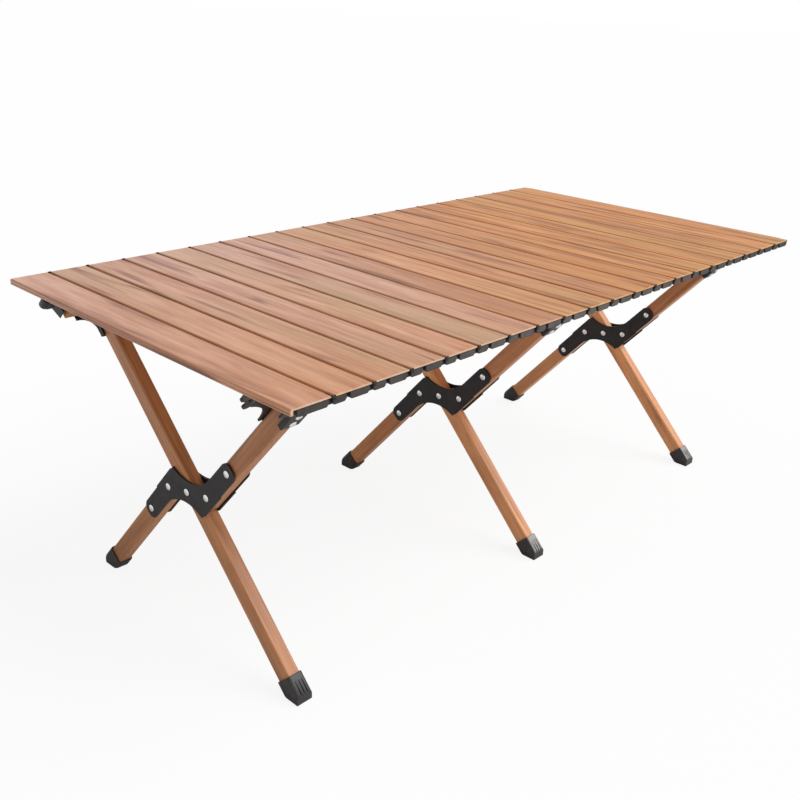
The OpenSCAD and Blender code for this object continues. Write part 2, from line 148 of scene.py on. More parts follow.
floor_paint = bpy.data.materials.new("pale_floor")
floor_paint.use_nodes = True
tree = floor_paint.node_tree
matt = tree.nodes["Principled BSDF"]
matt.inputs["Base Color"].default_value = FLOOR_GREY
matt.inputs["Roughness"].default_value = FLOOR_ROUGHNESS
matt.inputs["Specular IOR Level"].default_value = FLOOR_SHEEN
glow = add_node(tree, "ShaderNodeEmission", {"Color": WHITE, "Strength": 1.0})
seen = add_node(tree, "ShaderNodeLightPath")
share = add_node(tree, "ShaderNodeMath", {1: FLOOR_GLOW}, operation="MULTIPLY")
blend = add_node(tree, "ShaderNodeMixShader")
join(tree, seen.outputs["Is Camera Ray"], share.inputs[0])
join(tree, share.outputs[0], blend.inputs["Fac"])
join(tree, matt.outputs[0], blend.inputs[1])
join(tree, glow.outputs[0], blend.inputs[2])
join(tree, blend.outputs[0], tree.nodes["Material Output"].inputs["Surface"])
floor_data.materials.append(floor_paint)
print("floor disc of", FLOOR_RADIUS, "m radius")

# %% [markdown]
# Every finish of the table is mixed from the same few parts: a noise that gives a
# pattern, a range that turns part of it into a strength, a mix of two colours, and
# a bump that raises the skin. They are written once here. What a mix is fed may be
# a plain number or colour, which is set, or another node's output, which is
# linked. All patterns start from Object coordinates, which stay with a piece when
# it moves.

# %% Parts that finishes share
def new_finish(name, sheen):
    paint = bpy.data.materials.new(name)
    paint.use_nodes = True
    shader = paint.node_tree.nodes["Principled BSDF"]
    shader.inputs["Specular IOR Level"].default_value = sheen
    return paint, paint.node_tree, shader


def object_place(tree):
    return add_node(tree, "ShaderNodeTexCoord").outputs["Object"]


def attribute(tree, name):
    return add_node(tree, "ShaderNodeAttribute", attribute_name=name).outputs["Fac"]


def noise(tree, place, scale, detail, rough, wander=0.0):
    made = add_node(tree, "ShaderNodeTexNoise", {
        "Scale": scale, "Detail": detail, "Roughness": rough, "Distortion": wander})
    join(tree, place, made.inputs["Vector"])
    return made.outputs["Fac"]


def spread(tree, source, low, high, to_low, to_high):
    made = add_node(tree, "ShaderNodeMapRange", {
        "From Min": low, "From Max": high, "To Min": to_low, "To Max": to_high})
    join(tree, source, made.inputs["Value"])
    return made.outputs["Result"]


def feed(tree, value, socket):
    if isinstance(value, (float, tuple)):
        socket.default_value = value
    else:
        join(tree, value, socket)


def mixed(tree, share, first, second, way="MIX"):
    made = add_node(tree, "ShaderNodeMix", data_type="RGBA", blend_type=way)
    for value, name in ((share, "Factor"), (first, "A"), (second, "B")):
        feed(tree, value, made.inputs[name])
    return made.outputs["Result"]


def raise_skin(tree, shader, height, strength, depth):
    bump = add_node(tree, "ShaderNodeBump", {"Strength": strength, "Distance": depth})
    join(tree, height, bump.inputs["Height"])
    join(tree, bump.outputs["Normal"], shader.inputs["Normal"])


# %% [markdown]
# The top, the legs and the rails are oiled hardwood. Grain is long in one
# direction, so the pattern is ordinary noise, squeezed along the piece by a
# Mapping node of the Texture kind. The layers are broad bands that change the
# tone, olive clouds, dark mineral marks that show only where their noise is high,
# thin lines, and a fine grain that also gives the bump. Each board carries a
# number of its own in a vertex attribute, which shifts the pattern, so no two look
# alike. A second attribute, warmth, tints a whole board from rosy to orange, and
# brings out long brown veins in the warmer boards.

# %% Wood finish
GRAIN = {  # stretch along the piece, then the noise's scale, detail, roughness, wander
    "bands": (11, 55.0, 3.0, 0.55, 0.6),
    "clouds": (4, 8.0, 2.0, 0.5, 0.3),
    "marks": (13, 44.0, 2.0, 0.55, 0.5),
    "veins": (34, 105.0, 2.0, 0.5, 0.3),
    "lines": (60, 210.0, 2.0, 0.5, 0.0),
    "fine": (30, 480.0, 4.0, 0.6, 0.0),
}
SHOWS = {  # the noise at which a layer begins to show and shows in full, and how much then
    "bands": (0.34, 0.66, 1.0),
    "clouds": (0.5, 0.64, 0.65),
    "marks": (0.57, 0.68, 1.0),
    "veins": (0.5, 0.66, 0.75),
    "lines": (0.5, 0.68, 0.4),
    "fine": (0.62, 0.38, 0.3),
}
BOARD_SHIFT, BOARD_DARK, BOARD_LIGHT = (1.7, 3.1, 0.9), 0.92, 1.05
PORES, PORE_DULL, PORE_SHINE = (0.62, 0.5, 0.42, 1.0), 0.1, 0.04
PORE_BUMP, PORE_DEPTH = 0.2, 0.3 * MM


def wood_finish(name, turn, tones, tints, streak_share, roughness, sheen):
    pale, deep, patch, streak = tones
    paint, tree, shader = new_finish(name, sheen)
    board, warmth = attribute(tree, "board"), attribute(tree, "warmth")
    shifted = add_node(tree, "ShaderNodeVectorMath", {1: BOARD_SHIFT}, operation="MULTIPLY_ADD")
    join(tree, board, shifted.inputs[0])
    join(tree, object_place(tree), shifted.inputs[2])

    layers = {}
    for layer, (stretch, *settings) in GRAIN.items():
        squeezed = add_node(tree, "ShaderNodeMapping", {
            "Rotation": turn, "Scale": (1, stretch, 1)}, vector_type="TEXTURE")
        join(tree, shifted.outputs["Vector"], squeezed.inputs["Vector"])
        layers[layer] = noise(tree, squeezed.outputs["Vector"], *settings)

    def shown(layer, share=1.0):
        begin, full, most = SHOWS[layer]
        return spread(tree, layers[layer], begin, full, 0.0, most * share)

    veined = add_node(tree, "ShaderNodeMath", operation="MULTIPLY")
    join(tree, shown("veins", streak_share), veined.inputs[0])
    join(tree, warmth, veined.inputs[1])

    colour = mixed(tree, shown("bands"), deep, pale)
    colour = mixed(tree, shown("clouds"), colour, patch)
    colour = mixed(tree, shown("marks", streak_share), colour, streak)
    colour = mixed(tree, veined.outputs["Value"], colour, streak)
    colour = mixed(tree, shown("lines"), colour, deep)
    colour = mixed(tree, shown("fine"), colour, PORES, "MULTIPLY")
    colour = mixed(tree, 1.0, colour, mixed(tree, warmth, *tints), "MULTIPLY")
    own_shade = spread(tree, board, 0.0, 1.0, BOARD_DARK, BOARD_LIGHT)
    join(tree, mixed(tree, 1.0, colour, own_shade, "MULTIPLY"), shader.inputs["Base Color"])
    dull = spread(tree, layers["fine"], 0.3, 0.7, roughness + PORE_DULL, roughness - PORE_SHINE)
    join(tree, dull, shader.inputs["Roughness"])
    raise_skin(tree, shader, layers["fine"], PORE_BUMP, PORE_DEPTH)
    return paint


# %% [markdown]
# Four tones make a wood: pale, deep, patch and streak. The legs come from a redder timber than the
# slats. The rounded edges of the slats are darker, a painted shade for the seams, and the end faces
# are paler, a painted highlight along the tongue's edge. Two tints stand for the coldest and the
# warmest board; on the warmer boards the edge tint is lighter, painted light that offsets the shade
# of the seams. A turn lays the grain along the piece: slats along Y, legs on their slant, rails
# along X.

# %% Wood of the slats, legs and rails
LONG_LEAN = math.radians(45.4)
SHORT_LEAN = math.radians(180 - 48.9)
QUARTER = math.radians(90)
SLAT_TONES = ((0.63, 0.36, 0.22, 1.0), (0.48, 0.235, 0.13, 1.0),
              (0.5, 0.325, 0.17, 1.0), (0.23, 0.11, 0.072, 1.0))
LEG_TONES = ((0.57, 0.24, 0.085, 1.0), (0.38, 0.137, 0.042, 1.0),
             (0.52, 0.225, 0.08, 1.0), (0.2, 0.072, 0.03, 1.0))
# paler end faces, a painted highlight along the tongue's edge
CUT_TONES = ((0.74, 0.52, 0.36, 1.0), (0.62, 0.41, 0.27, 1.0),
             (0.68, 0.48, 0.32, 1.0), (0.42, 0.26, 0.17, 1.0))
# painted shade: the rounded edges along the seams are darkened by this much
SEAM_SHADE = (0.76, 0.67, 0.58, 1.0)
EDGE_TONES = tuple(tuple(s * c for s, c in zip(SEAM_SHADE, tone)) for tone in SLAT_TONES)
SLAT_TINTS = ((1.04, 1.16, 1.54, 1.0), (1.08, 0.875, 0.53, 1.0))
# the warm edge tint is painted light, lighter than the board's, to offset the shade of the seams
EDGE_TINTS_AND_LIGHT = (SLAT_TINTS[0], (1.5, 1.32, 0.95, 1.0))
LEG_TINTS = ((1.6, 1.85, 2.3, 1.0), (0.85, 0.8, 0.72, 1.0))

slat_wood = wood_finish("slat_wood", (0, 0, 0), SLAT_TONES, SLAT_TINTS,
                        streak_share=0.85, roughness=0.45, sheen=0.16)
slat_edge = wood_finish("slat_edge", (0, 0, 0), EDGE_TONES, EDGE_TINTS_AND_LIGHT,
                        streak_share=0.4, roughness=0.5, sheen=0.2)
cut_end = wood_finish("cut_end", (QUARTER, 0, 0), CUT_TONES, SLAT_TINTS,
                      streak_share=0.3, roughness=0.55, sheen=0.28)
long_leg_wood = wood_finish("long_leg_wood", (LONG_LEAN, 0, 0), LEG_TONES, LEG_TINTS,
                            streak_share=0.55, roughness=0.36, sheen=0.42)
short_leg_wood = wood_finish("short_leg_wood", (SHORT_LEAN, 0, 0), LEG_TONES, LEG_TINTS,
                             streak_share=0.55, roughness=0.36, sheen=0.42)
rail_wood = wood_finish("rail_wood", (0, 0, QUARTER), LEG_TONES, LEG_TINTS,
                        streak_share=0.55, roughness=0.45, sheen=0.28)
print("woods:", [m.name for m in (slat_wood, slat_edge, cut_end,
                                  long_leg_wood, short_leg_wood, rail_wood)])

# %% [markdown]
# The end caps and feet are moulded nylon, and the brackets are steel with a matt black powder coat.
# The finish mixes black with a grey by a vertex attribute that carries painted light: grey on the
# faces that stand out towards the lamp and the camera, falling to nothing over their rounded edges,
# and black as painted shade everywhere else. A fine noise makes the pebbled skin of a mould or of
# powder paint, and a wide one keeps the tone from being flat.

# %% Black finishes
BLACK = (0.02, 0.018, 0.018, 1.0)
# the grey of the painted sheen on the feet and of the painted light on the caps
FOOT_PAINTED_SHEEN = (0.3, 0.288, 0.282, 1.0)
CAP_PAINTED_LIGHT = (0.108, 0.092, 0.082, 1.0)
CLOUD_SCALE, CLOUD_DARK, CLOUD_LIGHT = 45.0, 0.72, 1.25
SKIN_SHINE, SKIN_DULL, SKIN_BUMP = 0.07, 0.08, 0.35


def charcoal_finish(name, painted_lit_tone, roughness, sheen, skin_scale, skin_depth):
    paint, tree, shader = new_finish(name, sheen)
    place = object_place(tree)
    cloud = noise(tree, place, scale=CLOUD_SCALE, detail=4.0, rough=0.6)
    skin = noise(tree, place, scale=skin_scale, detail=2.0, rough=0.5)
    # black as painted shade where the painted-light attribute is nothing, grey where it is full
    tone = mixed(tree, attribute(tree, "painted_light"), BLACK, painted_lit_tone)
    uneven = spread(tree, cloud, 0.35, 0.68, CLOUD_DARK, CLOUD_LIGHT)
    join(tree, mixed(tree, 1.0, tone, uneven, "MULTIPLY"), shader.inputs["Base Color"])
    dull = spread(tree, skin, 0.3, 0.7, roughness - SKIN_SHINE, roughness + SKIN_DULL)
    join(tree, dull, shader.inputs["Roughness"])
    raise_skin(tree, shader, skin, SKIN_BUMP, skin_depth)
    return paint


foot_nylon = charcoal_finish("foot_nylon", FOOT_PAINTED_SHEEN, roughness=0.44, sheen=0.4,
                             skin_scale=1200.0, skin_depth=0.3 * MM)
cap_nylon = charcoal_finish("cap_nylon", CAP_PAINTED_LIGHT, roughness=0.52, sheen=0.24,
                            skin_scale=1200.0, skin_depth=0.3 * MM)
bracket_black = charcoal_finish("bracket_black", BLACK, roughness=0.5, sheen=0.28,
                                skin_scale=2200.0, skin_depth=0.12 * MM)
print("black finishes:", [m.name for m in (foot_nylon, cap_nylon, bracket_black)])

# %% [markdown]
# The rivets and pins are bare steel, rubbed by use. A metal has no colour of its
# own beneath its reflection, so a very fine noise varies the grey of the
# reflection and its roughness together.

# %% Bare steel
RUBBED, BRIGHT = (0.62, 0.62, 0.6262, 1.0), (0.9, 0.9, 0.909, 1.0)
STEEL_SCALE, STEEL_SMOOTH, STEEL_ROUGH = 900.0, 0.24, 0.42

bare_steel, tree, shader = new_finish("bare_steel", sheen=0.5)
shader.inputs["Metallic"].default_value = 1.0
rub = noise(tree, object_place(tree), scale=STEEL_SCALE, detail=3.0, rough=0.6)
join(tree, mixed(tree, rub, RUBBED, BRIGHT), shader.inputs["Base Color"])
dull = spread(tree, rub, 0.0, 1.0, STEEL_SMOOTH, STEEL_ROUGH)
join(tree, dull, shader.inputs["Roughness"])
print("metal finish:", bare_steel.name)

# %% [markdown]
# No real edge is perfectly sharp, and the round is what catches the light. So one
# tool rounds every edge that turns more than a given angle, or only those among
# some chosen vertices. Large flat faces stay flat-shaded, and small ones and the
# new rounds are smooth.

# %% Rounding
SMOOTH_BELOW = 60 * MM * MM


def bevel(bm, edges, width, steps):
    return bmesh.ops.bevel(bm, geom=edges, offset=width, offset_type="OFFSET", segments=steps,
                           profile=0.5, affect="EDGES", clamp_overlap=True, material=-1)["faces"]


def round_edges(bm, width, steps=2, least_turn=30, among=None):
    bm.normal_update()
    sharp = [e for e in bm.edges
             if e.is_manifold and e.calc_face_angle() > math.radians(least_turn)
             and (among is None or all(v in among for v in e.verts))]
    rounds = bevel(bm, sharp, width, steps)
    for face in bm.faces:
        face.smooth = face.calc_area() < SMOOTH_BELOW
    for face in rounds:
        face.smooth = True


# %% [markdown]
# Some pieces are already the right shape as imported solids. A copy of such a solid
# has its loose triangles merged and its flat faces joined up, so that the rounding
# has clean edges to work on. A node may hold several loose parts, such as a plate
# and its pins, so the copy keeps only those whose box is wanted.

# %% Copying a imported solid
MERGE_WITHIN = 0.002 * MM
FLAT_WITHIN = math.radians(0.6)


def loose_parts(bm):
    left = set(bm.verts)
    while left:
        part, waiting = set(), [left.pop()]
        while waiting:
            vert = waiting.pop()
            part.add(vert)
            for edge in vert.link_edges:
                other = edge.other_vert(vert)
                if other in left:
                    left.discard(other)
                    waiting.append(other)
        yield part


def join_flat_faces(bm):
    bmesh.ops.dissolve_limit(bm, angle_limit=FLAT_WITHIN, verts=bm.verts, edges=bm.edges)


def every_part(low, high):
    return True


def copy_solid(node, wanted=every_part):
    bm = bmesh.new()
    bm.from_mesh(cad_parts[node].data)
    bmesh.ops.remove_doubles(bm, verts=bm.verts, dist=MERGE_WITHIN)
    unwanted = []
    for part in loose_parts(bm):
        low = Vector([min(v.co[i] for v in part) for i in range(3)])
        high = Vector([max(v.co[i] for v in part) for i in range(3)])
        if not wanted(low, high):
            unwanted.extend(part)
    bmesh.ops.delete(bm, geom=unwanted, context="VERTS")
    join_flat_faces(bm)
    return bm


# %% [markdown]
# A finished bmesh becomes an object with its body, its finishes and the solid that
# it replaces. On the way every vertex gets the board's number and its warmth. The
# numbers come from a seeded generator, so each run gives the same table.

# %% Keeping a finished piece
rng = random.Random(11)


def keep(bm, name, finishes, body, slot, replaced=None, warmth=0.5, front_warmth=0.0):
    board_layer = bm.verts.layers.float.new("board")
    warmth_layer = bm.verts.layers.float.new("warmth")
    number = rng.random()
    for vert in bm.verts:
        vert[board_layer] = number
        vert[warmth_layer] = warmth + (front_warmth if vert.co.y < 0 else 0.0)
    data = bpy.data.meshes.new(name)
    bm.to_mesh(data)
    bm.free()
    piece = bpy.data.objects.new(name, data)
    bpy.context.scene.collection.objects.link(piece)
    for finish in finishes:
        data.materials.append(finish)
    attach(piece, body)
    if replaced:
        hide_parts(replaced)
    return piece


# %% [markdown]
# A slat is a thin board. Both ends are cut back from below, so that a tongue of
# wood runs on over the black cap. A cube gives the middle of the board, cuts mark
# the tongue, and the end faces above the cut are drawn outwards. The first board
# also keeps a wall beside its cap, since its end is the corner of the table, and
# the last leaves its corner to the cap.

# %% Blank of a slat
SLAT_COUNT, SLAT_PITCH, TABLE_H = 20, 60 * MM, 465 * MM
SLAT_W, SLAT_L, SLAT_T = 56.4 * MM, 600 * MM, 8 * MM
CAP_DEPTH, TONGUE_T, END_WALL = 14 * MM, 2.5 * MM, 4 * MM
FACING = 0.9  # a face looks along an axis if this much of its normal does


def slat_x(k):
    return (k - (SLAT_COUNT + 1) / 2) * SLAT_PITCH


def whole(bm):
    return bm.verts[:] + bm.edges[:] + bm.faces[:]


def verts_of(geom):
    return [v for v in geom if isinstance(v, bmesh.types.BMVert)]


def cut_across(bm, point, normal):
    bmesh.ops.bisect_plane(bm, geom=whole(bm), plane_co=point, plane_no=normal)


def slat_blank(k):
    side, tongue_z = SLAT_W / 2, SLAT_T / 2 - TONGUE_T
    size = (SLAT_W, SLAT_L - 2 * CAP_DEPTH, SLAT_T, 1)
    bm = bmesh.new()
    bmesh.ops.create_cube(bm, size=1, matrix=Matrix.Diagonal(size))
    cut_across(bm, (0, 0, tongue_z), (0, 0, 1))
    for x in (END_WALL - side, side - END_WALL):
        cut_across(bm, (x, 0, 0), (1, 0, 0))

    def runs_on(face):
        spot = face.calc_center_median()
        if k == SLAT_COUNT and spot.x > side - END_WALL:
            return False
        return spot.z > tongue_z or (k == 1 and spot.x < END_WALL - side)

    for way in (-1, 1):
        bm.normal_update()
        ends = [f for f in bm.faces if f.normal.y * way > FACING and runs_on(f)]
        drawn = bmesh.ops.extrude_face_region(bm, geom=ends)["geom"]
        bmesh.ops.delete(bm, geom=ends, context="FACES_ONLY")
        bmesh.ops.translate(bm, vec=(0, way * CAP_DEPTH, 0), verts=verts_of(drawn))
    join_flat_faces(bm)
    return bm


# %% [markdown]
# The two outer sides of the top have a fine groove that stops short of the
# corners. So on the first and the last board, cuts mark a strip of the outer side,
# and the strip is pushed in.

# %% Groove of the outer sides
GROOVE_LOW, GROOVE_HIGH = -1.8 * MM, -0.8 * MM
GROOVE_IN, GROOVE_STOP, HAIR = 0.7 * MM, 2 * MM, 0.001 * MM
OUTER_WAY = {1: -1, SLAT_COUNT: 1}


def groove_side(bm, k):
    reach = SLAT_L / 2 - GROOVE_STOP - (0 if k == 1 else CAP_DEPTH)
    for level in (GROOVE_LOW, GROOVE_HIGH):
        cut_across(bm, (0, 0, level), (0, 0, 1))
    for end in (-reach, reach):
        cut_across(bm, (0, end, 0), (0, 1, 0))
    bm.normal_update()

    def in_strip(face):
        spot = face.calc_center_median()
        return (face.normal.x * OUTER_WAY[k] > FACING and abs(spot.x) > SLAT_W / 2 - HAIR
                and abs(spot.y) < reach and GROOVE_LOW < spot.z < GROOVE_HIGH)

    strip = [f for f in bm.faces if in_strip(f)]
    for face in bmesh.ops.extrude_discrete_faces(bm, faces=strip)["faces"]:
        bmesh.ops.translate(bm, vec=-face.normal * GROOVE_IN, verts=face.verts)


# %% [markdown]
# The long upper edges get a soft round in a darker finish, a painted shade that makes each seam a
# brown line rather than a black one, and the end faces take a paler finish, a painted highlight. A
# face picks its finish by its place in the piece's list of finishes. The boards grow warmer towards
# the right end of the table, and each is warmer at its front.

# %% Slat boards
TOP_ROUND, BOARD_EASE, CORNER_TURN = 2.2 * MM, 0.25 * MM, math.radians(57)
SLAT_FINISHES = (slat_wood, cut_end, slat_edge)
WARM_AFTER, WARM_OVER, WARM_MOST, WARM_STRAY, WARM_FRONT = 7, 9, 0.8, 0.2, 0.4


def slat_board(k):
    bm = slat_blank(k)
    if k in OUTER_WAY:
        groove_side(bm, k)
    bm.normal_update()
    top = SLAT_T / 2 - HAIR
    upper = [e for e in bm.edges
             if all(v.co.z > top for v in e.verts) and e.calc_face_angle(0) > CORNER_TURN]
    long_edges = [e for e in upper if abs(e.verts[0].co.x - e.verts[1].co.x) < HAIR]
    # the rounds take the darker edge finish, painted shade of the seams
    for face in bevel(bm, long_edges, TOP_ROUND, steps=4):
        face.material_index = SLAT_FINISHES.index(slat_edge)
    round_edges(bm, BOARD_EASE, steps=1, least_turn=50)
    # the end faces take the paler finish, a painted highlight
    for face in bm.faces:
        if abs(face.normal.y) > FACING:
            face.material_index = SLAT_FINISHES.index(cut_end)
    bmesh.ops.translate(bm, vec=(slat_x(k), 0, TABLE_H - SLAT_T / 2), verts=bm.verts)
    return bm


for k in range(1, SLAT_COUNT + 1):
    slat = f"slat_{k:02d}"
    warmth = min(WARM_MOST, max(0.0, (k - WARM_AFTER) / WARM_OVER)) + rng.uniform(0.0, WARM_STRAY)
    keep(slat_board(k), f"board_{k:02d}", SLAT_FINISHES, slat, "slat_wood", slat,
         warmth, WARM_FRONT)
print("boards:", SLAT_COUNT, "each", round(SLAT_W / MM, 1), "mm wide")

# %% [markdown]
# Under each tongue sits a moulded cap. Its long block is fixed to the slat. A web
# runs from it across the seam to a shorter tooth under the next slat, and behind
# that web the next cap's lug turns on a pin. A small rib stands up in front of the
# seam. The web lies well back, so that blocks and teeth read as a row with dark
# gaps. Each part starts as a box or a cone, and a bevel cuts the lower corners of
# the blocks and teeth. Parts of one moulding bite into each other, so that no gap
# shows between them. Heights are measured from the top of the table, most of them
# downwards.

# %% Boxes and pins of a cap
FRONT, SEAM, FIT_GAP, BITE = -SLAT_L / 2, SLAT_PITCH / 2, 0.05 * MM, 2 * MM
CAP_LOW, CAP_HIGH, LINK_HIGH, CORNER_CUT = -12 * MM, -2.55 * MM, -2.8 * MM, 3 * MM


def add_box(bm, low, high):
    size = Vector(high) - Vector(low)
    middle = (Vector(high) + Vector(low)) / 2
    place = Matrix.LocRotScale(middle, None, size)
    return bmesh.ops.create_cube(bm, size=1, matrix=place)["verts"]


def edges_at(verts):
    return list(dict.fromkeys(e for v in verts for e in v.link_edges))


def add_block(bm, low, high):
    block = add_box(bm, low, high)
    under = [e for e in edges_at(block)
             if all(v.co.z < CAP_LOW + HAIR for v in e.verts)
             and abs(e.verts[0].co.x - e.verts[1].co.x) < HAIR]
    bevel(bm, under, CORNER_CUT, steps=1)


def add_pin(bm, centre, radius, length, steps=20):
    place = Matrix.Translation(centre) @ Matrix.Rotation(QUARTER, 4, "X")
    bmesh.ops.create_cone(bm, cap_ends=True, segments=steps, radius1=radius, radius2=radius,
                          depth=length, matrix=place)


# %% Web, rib and lug of a cap
BLOCK_FROM, BLOCK_TO, LINK_T = -4.6 * MM, 25.25 * MM, 6 * MM
WEB_INSET, WEB_LOW = 2.5 * MM, -11 * MM
RIB_LEFT, RIB_RIGHT, RIB_OUT, RIB_GAP = -1.8 * MM, 3.6 * MM, 1.5 * MM, 0.3 * MM
RIB_LOW, RIB_HIGH = -5.5 * MM, 0.3 * MM
HINGE_Z, LUG_R, LUG_T = -7.25 * MM, 4.45 * MM, 7.4 * MM
LINK_PIN_R, LINK_PIN_LEN, LINK_PIN_SET = 2 * MM, 3.8 * MM, 0.9 * MM


def add_web_and_rib(bm):
    add_box(bm, (BLOCK_TO - BITE, FRONT + WEB_INSET, WEB_LOW),
            (SEAM + BITE, FRONT + LINK_T, LINK_HIGH))
    for back, high in ((FRONT + BITE, LINK_HIGH), (FRONT - RIB_GAP, RIB_HIGH)):
        add_box(bm, (SEAM + RIB_LEFT, FRONT - RIB_OUT, RIB_LOW), (SEAM + RIB_RIGHT, back, high))


def add_lug(bm):
    lug_y = FRONT + LINK_T + RIB_GAP
    add_pin(bm, (-SEAM, lug_y + LUG_T / 2, HINGE_Z), LUG_R, LUG_T)
    add_box(bm, (-SEAM, lug_y, HINGE_Z - LUG_R),
            (BLOCK_FROM + BITE, lug_y + LUG_T, HINGE_Z + LUG_R))
    add_pin(bm, (-SEAM, lug_y - LINK_PIN_SET, HINGE_Z), LINK_PIN_R, LINK_PIN_LEN, steps=12)


# %% [markdown]
# The block and the tooth are rounded first, and the small parts on their own after them, because a
# bevel shrinks to suit the thinnest part. On the last cap a post fills the corner that its board
# leaves free. Only the flat outer faces get a grey of painted light, and every other face stays
# black as painted shade, which sets every tooth in a black frame. The painted light is strongest on
# the caps in the middle of the table and fades towards both ends. A mirror makes the cap for the
# back edge.

# %% End caps
FIRST_FROM, TOOTH_W, CAP_BACK = -19.8 * MM, 21 * MM, FRONT + CAP_DEPTH - FIT_GAP
POST_FROM, POST_LOW, POST_HIGH = SLAT_W / 2 - END_WALL + FIT_GAP, CAP_HIGH - MM, -MM
CAP_ROUND, SMALL_ROUND, OUTER_SKIN = 1.3 * MM, 0.4 * MM, 0.01 * MM
# the caps in the middle get the most painted light, which fades towards both ends of the table
BRIGHTEST_CAP, CAP_LIGHT_FALL = 9, 0.085


def end_caps(k):
    first, last = k == 1, k == SLAT_COUNT
    bm = bmesh.new()
    painted_light = bm.verts.layers.float.new("painted_light")
    add_block(bm, (FIRST_FROM if first else BLOCK_FROM, FRONT, CAP_LOW),
              (SLAT_W / 2 if last else BLOCK_TO, CAP_BACK, CAP_HIGH))
    if not last:
        add_block(bm, (SEAM, FRONT, CAP_LOW), (SEAM + TOOTH_W, FRONT + LINK_T, LINK_HIGH))
    round_edges(bm, CAP_ROUND, steps=3)
    large = set(bm.verts)
    # painted light on the flat outer faces, painted shade (black) on every other face
    for vert in large:
        outside = vert.co.y < FRONT + OUTER_SKIN
        vert[painted_light] = 1.0 - CAP_LIGHT_FALL * abs(k - BRIGHTEST_CAP) if outside else 0.0
    if last:
        add_box(bm, (POST_FROM, FRONT, POST_LOW), (SLAT_W / 2, CAP_BACK, POST_HIGH))
    else:
        add_web_and_rib(bm)
    if not first:
        add_lug(bm)
    round_edges(bm, SMALL_ROUND, among=set(bm.verts) - large)
    bmesh.ops.mirror(bm, geom=whole(bm), matrix=Matrix.Identity(4), merge_dist=-1, axis="Y")
    bmesh.ops.recalc_face_normals(bm, faces=bm.faces)
    bmesh.ops.translate(bm, vec=(slat_x(k), 0, TABLE_H), verts=bm.verts)
    return bm


for k in range(1, SLAT_COUNT + 1):
    keep(end_caps(k), f"end_caps_{k:02d}", (cap_nylon,), f"slat_{k:02d}", "black_plastic")
print("end caps on", SLAT_COUNT, "slats")

# %% [markdown]
# The legs are planed bars. The imported solids already have their length, their slanted ends and
# their bores, so they are copied and only their edges are eased, as sandpaper would. One leg of
# each pair runs straight through from floor to top, and the other is in two pieces that the cross
# bracket joins. Each leg has a warmth of its own, which also paints light: the middle and right
# legs are paler to offset the shade of the top over them, and the middle long leg is palest, a
# painted highlight.

# %% Legs
SIDES = ("left", "mid", "right")
LEG_EASE, LEG_STRAY = 1.3 * MM, 0.1
# warmth per leg, partly painted light: low values make the middle and right legs paler
LEG_TONE_AND_LIGHT = {
    "long_leg": {"left": 0.82, "mid": 0.05, "right": 0.22},
    "upper_leg": {"left": 0.85, "mid": 0.63, "right": 0.85},
    "lower_leg": {"left": 0.89, "mid": 0.56, "right": 0.56},
}


def eased_copy(node, width, wanted=every_part, steps=2, least_turn=35):
    bm = copy_solid(node, wanted)
    round_edges(bm, width, steps, least_turn)
    return bm


for side in SIDES:
    for kind, body, finish in (("long_leg", "long", long_leg_wood),
                               ("upper_leg", "short", short_leg_wood),
                               ("lower_leg", "short", short_leg_wood)):
        node = f"{kind}_{side}"
        bar = eased_copy(node, LEG_EASE, steps=3, least_turn=25)
        warmth = LEG_TONE_AND_LIGHT[kind][side] + rng.uniform(-LEG_STRAY, LEG_STRAY)
        keep(bar, f"{node}_bar", (finish,), f"{side}_{body}", "leg_wood", node, warmth)
print("legs:", len(LEG_TONE_AND_LIGHT) * len(SIDES))

# %% [markdown]
# A foot is a thick boot pressed over the end of a leg. It is modelled lying along
# its leg, as a box with rounded long edges. Its upper face has three moulded
# grooves that deepen down to the toe: cuts mark them out, and they are pushed in
# at a slope. On the legs that lean the other way, the box's own up points down, so
# the upper face is told by a sign.

# %% Blank of a foot
LEG_W, LEG_T = 26 * MM, 20 * MM
FOOT_LEN, FOOT_WALL, FOOT_ROUND = 34 * MM, 2.5 * MM, 5 * MM
FOOT_HALF_W, FOOT_HALF_T = LEG_W / 2 + FOOT_WALL, LEG_T / 2 + FOOT_WALL
FOOT_GROOVES, FOOT_GROOVE_W, FOOT_GROOVE_TOP = (-5.3 * MM, 0, 5.3 * MM), 2 * MM, 25 * MM
FOOT_GROOVE_START, FOOT_GROOVE_SLOPE = 0.4 * MM, 0.085


def foot_blank(upper):
    bm = bmesh.new()
    box = add_box(bm, (-FOOT_HALF_T, -FOOT_LEN, -FOOT_HALF_W), (FOOT_HALF_T, FOOT_LEN, FOOT_HALF_W))
    long_edges = [e for e in edges_at(box)
                  if abs(e.verts[0].co.y - e.verts[1].co.y) > FOOT_LEN]
    bevel(bm, long_edges, FOOT_ROUND, steps=6)
    for middle in FOOT_GROOVES:
        for edge in (-FOOT_GROOVE_W / 2, FOOT_GROOVE_W / 2):
            cut_across(bm, (middle + edge, 0, 0), (1, 0, 0))
    cut_across(bm, (0, FOOT_GROOVE_TOP, 0), (0, 1, 0))
    bm.normal_update()

    def in_groove(face):
        spot = face.calc_center_median()
        return (face.normal.z * upper > FACING and spot.y < FOOT_GROOVE_TOP
                and any(abs(spot.x - middle) < FOOT_GROOVE_W / 2 for middle in FOOT_GROOVES))

    grooves = [f for f in bm.faces if in_groove(f)]
    for face in bmesh.ops.extrude_discrete_faces(bm, faces=grooves)["faces"]:
        for vert in face.verts:
            below_top = FOOT_GROOVE_TOP - vert.co.y
            vert.co.z -= upper * (FOOT_GROOVE_START + FOOT_GROOVE_SLOPE * below_top)
    return bm


